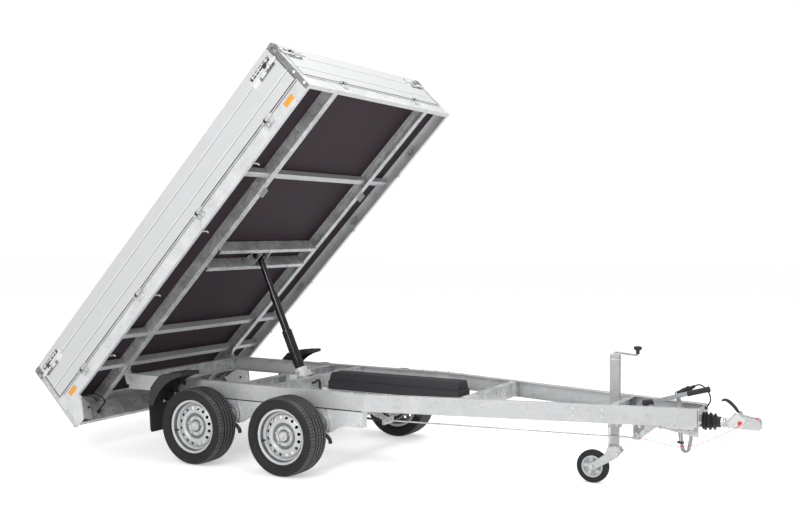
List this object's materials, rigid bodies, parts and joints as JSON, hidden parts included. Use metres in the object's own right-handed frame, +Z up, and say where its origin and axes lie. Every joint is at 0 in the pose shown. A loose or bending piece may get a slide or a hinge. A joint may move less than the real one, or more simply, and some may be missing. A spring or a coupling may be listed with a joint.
{
  "type": "dump trailer",
  "caption": "Tandem-axle tipping trailer with its bed raised on a telescopic ram, drop boards, overrun drawbar, handbrake and jockey wheel.",
  "frame": {"origin": "on the ground, under the middle of the trailer's length and width as it stands with the bed raised", "axes": "+X towards the coupling, +Y to the trailer's left, +Z up"},
  "size_m": [4.989, 2, 2.8103],
  "materials": {
    "zinc": "hot-dip galvanised, mottled grey",
    "bright_zinc": "bright zinc plate",
    "anodised": "satin anodised",
    "black_plastic": "moulded, fine grain",
    "black_paint": "semi-gloss black",
    "grey_paint": "grey powder coat",
    "rubber": "matt black rubber",
    "tyre": "matt black tread rubber",
    "rim_silver": "silver paint",
    "jockey_rim": "grey",
    "chrome_rod": "ground and plated",
    "ram_paint": "black enamel",
    "floor_ply": "film-faced plywood",
    "lamp_red": "moulded lens",
    "amber": "prismatic lens",
    "red_cord": "plastic-coated cable",
    "black_cord": "rubber sheath"
  },
  "bodies": {
    "chassis": {"chassis_rails": "zinc", "cross_members": "zinc", "ram_beams": "zinc", "trunnion_plates": "zinc", "bed_hinge_brackets": "zinc", "axle_tubes": "zinc", "axle_brackets": "zinc", "swing_arms": "zinc", "mudguards": "black_plastic", "pump_box": "black_plastic", "pump_tray": "zinc", "overrun_unit": "zinc", "bellows": "rubber", "coupling_head": "bright_zinc", "coupling_handle": "black_plastic", "handbrake_lever": "grey_paint", "brake_linkage": "zinc", "jockey_mast": "zinc", "jockey_leg": "bright_zinc", "jockey_crank": "black_paint", "breakaway_cable": "red_cord", "lighting_lead": "black_cord", "lead_plug": "black_plastic"},
    "bed": {"side_profiles": "zinc", "end_profiles": "zinc", "bed_floor": "floor_ply", "long_beams": "zinc", "bed_cross_members": "zinc", "ram_head_frame": "zinc", "rear_apron": "zinc", "rear_lamps": "lamp_red", "reflectors": "amber", "rope_hooks": "zinc", "corner_posts": "anodised", "board_hinge_leaves": "zinc"},
    "ram_barrel": {"ram_barrel": "ram_paint"},
    "ram_stage_1": {"ram_stage_1": "chrome_rod"},
    "ram_stage_2": {"ram_stage_2": "chrome_rod"},
    "ram_stage_3": {"ram_stage_3": "chrome_rod"},
    "left_board": {"left_board": "anodised", "left_board_latches": "bright_zinc"},
    "right_board": {"right_board": "anodised", "right_board_latches": "bright_zinc"},
    "front_board": {"front_board": "anodised", "front_board_latches": "bright_zinc"},
    "tailgate": {"tailgate": "anodised", "tailgate_latches": "bright_zinc"},
    "jockey_swivel": {"jockey_fork": "bright_zinc"},
    "jockey_wheel": {"jockey_rim": "jockey_rim", "jockey_tyre": "rubber"},
    "wheel_front_left": {"rim_front_left": "rim_silver", "tyre_front_left": "tyre"},
    "wheel_front_right": {"rim_front_right": "rim_silver", "tyre_front_right": "tyre"},
    "wheel_rear_left": {"rim_rear_left": "rim_silver", "tyre_rear_left": "tyre"},
    "wheel_rear_right": {"rim_rear_right": "rim_silver", "tyre_rear_right": "tyre"}
  },
  "joints": [
    {"name": "bed_tilt", "type": "hinge", "parent": "chassis", "child": "bed", "pos_m": [-1.92051, 0, 0.554], "axis": [0, -1, 0], "range_deg": [-46.19, 0]},
    {"name": "ram_tilt", "type": "hinge", "parent": "chassis", "child": "ram_barrel", "pos_m": [-0.77351, 0, 0.539], "axis": [0, -1, 0], "range_deg": [-24.14, 0]},
    {"name": "ram_slide_1", "type": "slide", "parent": "ram_barrel", "child": "ram_stage_1", "axis": [-0.4089, 0, 0.9126], "range_m": [-0.298, 0]},
    {"name": "ram_slide_2", "type": "slide", "parent": "ram_stage_1", "child": "ram_stage_2", "axis": [-0.4089, 0, 0.9126], "range_m": [-0.298, 0]},
    {"name": "ram_slide_3", "type": "slide", "parent": "ram_stage_2", "child": "ram_stage_3", "axis": [-0.4089, 0, 0.9126], "range_m": [-0.298, 0]},
    {"name": "left_board_hinge", "type": "hinge", "parent": "bed", "child": "left_board", "pos_m": [-1.18328, 0.991, 1.47708], "axis": [-0.6923, 0, -0.7216], "range_deg": [0, 180]},
    {"name": "right_board_hinge", "type": "hinge", "parent": "bed", "child": "right_board", "pos_m": [-1.18328, -0.991, 1.47708], "axis": [0.6923, 0, 0.7216], "range_deg": [0, 180]},
    {"name": "front_board_hinge", "type": "hinge", "parent": "bed", "child": "front_board", "pos_m": [-0.10991, 0, 2.59598], "axis": [0, 1, 0], "range_deg": [0, 180]},
    {"name": "tailgate_hinge", "type": "hinge", "parent": "bed", "child": "tailgate", "pos_m": [-2.25664, 0, 0.35818], "axis": [0, -1, 0], "range_deg": [0, 180]},
    {"name": "wheel_front_left_spin", "type": "hinge", "parent": "chassis", "child": "wheel_front_left", "pos_m": [-0.37451, 0.773, 0.2625], "axis": [0, 1, 0], "continuous": true},
    {"name": "wheel_front_right_spin", "type": "hinge", "parent": "chassis", "child": "wheel_front_right", "pos_m": [-0.37451, -0.773, 0.2625], "axis": [0, 1, 0], "continuous": true},
    {"name": "wheel_rear_left_spin", "type": "hinge", "parent": "chassis", "child": "wheel_rear_left", "pos_m": [-1.11651, 0.773, 0.2625], "axis": [0, 1, 0], "continuous": true},
    {"name": "wheel_rear_right_spin", "type": "hinge", "parent": "chassis", "child": "wheel_rear_right", "pos_m": [-1.11651, -0.773, 0.2625], "axis": [0, 1, 0], "continuous": true},
    {"name": "jockey_swivel", "type": "hinge", "parent": "chassis", "child": "jockey_swivel", "pos_m": [1.59949, 0.022, 0.256], "axis": [0, 0, 1], "continuous": true},
    {"name": "jockey_spin", "type": "hinge", "parent": "jockey_swivel", "child": "jockey_wheel", "pos_m": [1.45649, 0.022, 0.106], "axis": [0, 1, 0], "continuous": true}
  ],
  "couplings": [
    {"joint": "ram_tilt", "follows": "bed_tilt", "ratio": 0.5226},
    {"joint": "ram_slide_1", "follows": "bed_tilt", "m_per_rad": 0.36965},
    {"joint": "ram_slide_2", "follows": "bed_tilt", "m_per_rad": 0.36965},
    {"joint": "ram_slide_3", "follows": "bed_tilt", "m_per_rad": 0.36965}
  ]
}
